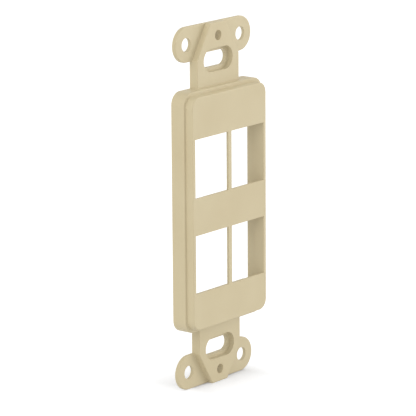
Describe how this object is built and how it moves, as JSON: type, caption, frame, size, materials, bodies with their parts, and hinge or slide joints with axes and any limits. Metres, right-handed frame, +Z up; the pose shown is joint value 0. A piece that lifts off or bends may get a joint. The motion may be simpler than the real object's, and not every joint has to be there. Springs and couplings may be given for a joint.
{
  "type": "keystone faceplate",
  "caption": "Hollow decorator insert moulded in one piece, with open jack ports and strap tabs for screws.",
  "frame": {"origin": "centre of the back plane, midway between the two device screw slots", "axes": "+X to the right seen from the front, -Y out of the wall towards the viewer, +Z up"},
  "size_m": [0.0352, 0.0082, 0.1042],
  "materials": {
    "ivory_abs": "satin moulded"
  },
  "bodies": {
    "root": {"port_insert": "ivory_abs"}
  },
  "joints": []
}
